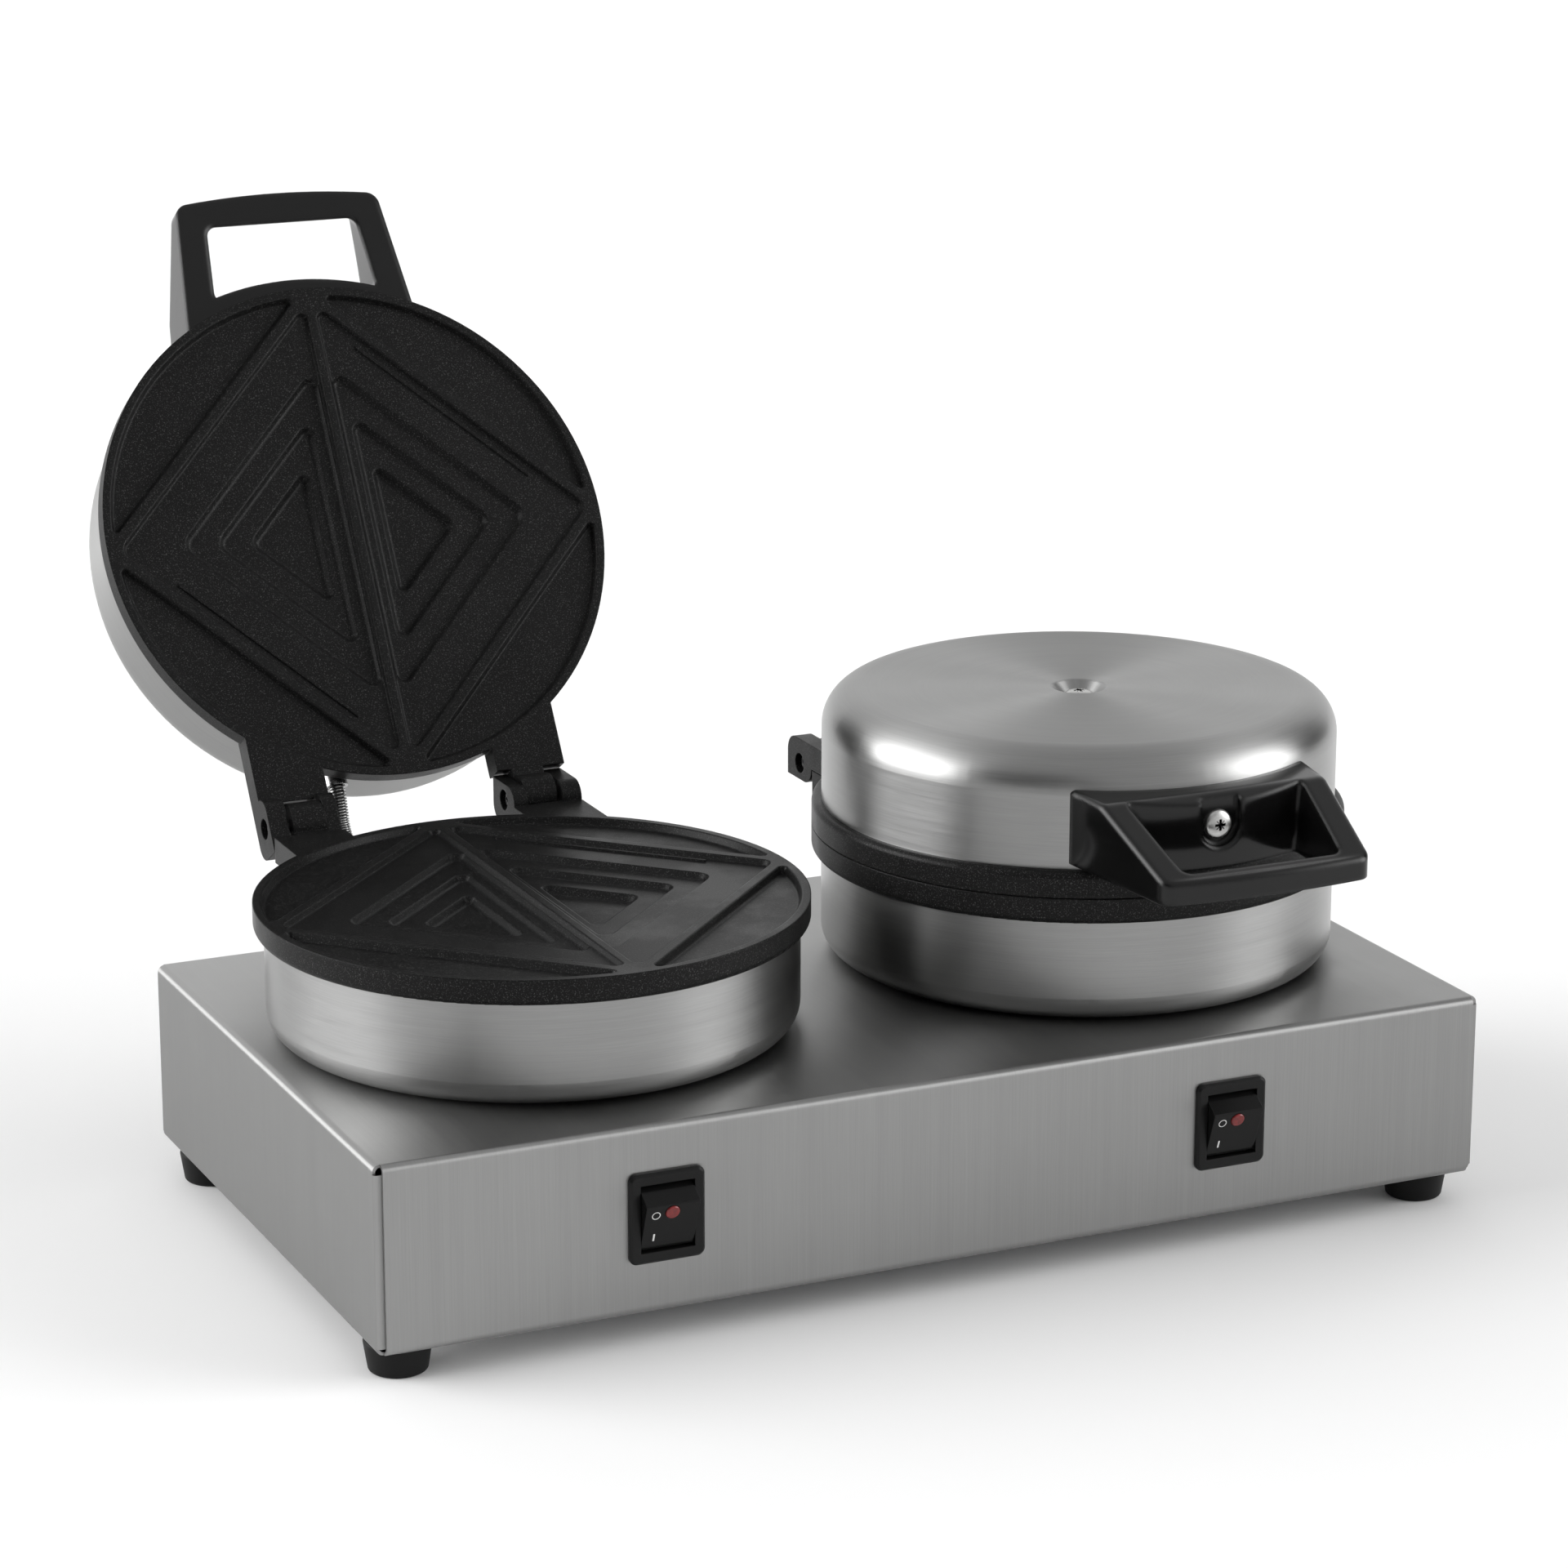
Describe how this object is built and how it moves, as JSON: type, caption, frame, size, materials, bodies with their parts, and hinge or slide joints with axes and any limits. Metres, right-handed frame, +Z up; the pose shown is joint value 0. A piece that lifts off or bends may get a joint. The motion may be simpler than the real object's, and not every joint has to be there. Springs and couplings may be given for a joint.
{
  "type": "contact grill",
  "caption": "Table-top contact grill: a sheet steel base with round cast plates in pairs, hinged lids with loop handles, and rocker switches in front.",
  "frame": {"origin": "centre of the base box on the surface that the feet stand on", "axes": "+Z up, -Y the side with the switches and handles, +X to the right seen from the front"},
  "size_m": [0.46, 0.4466, 0.3665],
  "materials": {
    "stainless": "brushed, semi-bright",
    "cover": "plain mill finish",
    "casting": "matt black non-stick coating with a fine texture",
    "handle": "gloss black phenolic",
    "switch": "satin black",
    "lens": "translucent red",
    "terminal": "tinned",
    "screw": "bright plated",
    "pin": "turned",
    "foot": "matt",
    "gland": "satin",
    "block": "natural",
    "element": "oxidised",
    "conduit": "bright wound wire",
    "sleeve": "woven glass, dark grey",
    "ferrule": "turned, plated"
  },
  "bodies": {
    "base": {"base_housing": "stainless", "base_plate": "cover", "base_plate_screws": "screw", "foot_front_left": "foot", "foot_front_right": "foot", "foot_back_left": "foot", "foot_back_right": "foot", "foot_fasteners": "screw", "cable_gland": "gland", "gland_lock_nut": "gland", "terminal_block": "block", "earth_stud": "terminal", "switch_body_left": "switch", "switch_body_right": "switch", "switch_tabs_left": "terminal", "switch_tabs_right": "terminal", "lower_shell_left": "stainless", "lower_shell_right": "stainless", "lower_plate_left": "casting", "lower_plate_right": "casting", "lower_element_left": "element", "lower_element_right": "element", "lower_reflector_left": "cover", "lower_reflector_right": "cover", "lower_fixing_left": "screw", "lower_fixing_right": "screw", "thermostat_left": "block", "thermostat_right": "block", "hinge_pin_base_left": "pin", "hinge_pin_base_right": "pin", "conduit_ferrule_lower_left": "ferrule", "conduit_ferrule_lower_right": "ferrule", "conduit_left": "conduit", "conduit_right": "conduit", "conduit_sleeve_left": "sleeve", "conduit_sleeve_right": "sleeve"},
    "lid_left": {"upper_plate_left": "casting", "upper_element_left": "element", "upper_reflector_left": "cover", "lid_shell_left": "stainless", "lid_screw_left": "screw", "handle_left": "handle", "handle_screw_left": "screw", "handle_nut_left": "pin", "hinge_pin_lid_left": "pin", "conduit_ferrule_upper_left": "ferrule"},
    "button_left": {"rocker_left": "switch", "switch_lens_left": "lens"},
    "lid_right": {"upper_plate_right": "casting", "upper_element_right": "element", "upper_reflector_right": "cover", "lid_shell_right": "stainless", "lid_screw_right": "screw", "handle_right": "handle", "handle_screw_right": "screw", "handle_nut_right": "pin", "hinge_pin_lid_right": "pin", "conduit_ferrule_upper_right": "ferrule"},
    "button_right": {"rocker_right": "switch", "switch_lens_right": "lens"}
  },
  "joints": [
    {"name": "lid_left_hinge", "type": "hinge", "parent": "base", "child": "lid_left", "pos_m": [-0.118, 0.123, 0.1382], "axis": [-1, 0, 0], "range_deg": [-122.5, 0], "deforming": ["conduit_left", "conduit_sleeve_left"]},
    {"name": "lid_right_hinge", "type": "hinge", "parent": "base", "child": "lid_right", "pos_m": [0.118, 0.123, 0.1382], "axis": [-1, 0, 0], "range_deg": [0, 122.5], "deforming": ["conduit_right", "conduit_sleeve_right"]},
    {"name": "button_left_rock", "type": "hinge", "parent": "base", "child": "button_left", "pos_m": [-0.118, -0.1273, 0.0512], "axis": [1, 0, 0], "range_deg": [0, 14]},
    {"name": "button_right_rock", "type": "hinge", "parent": "base", "child": "button_right", "pos_m": [0.118, -0.1273, 0.0512], "axis": [1, 0, 0], "range_deg": [0, 14]}
  ]
}
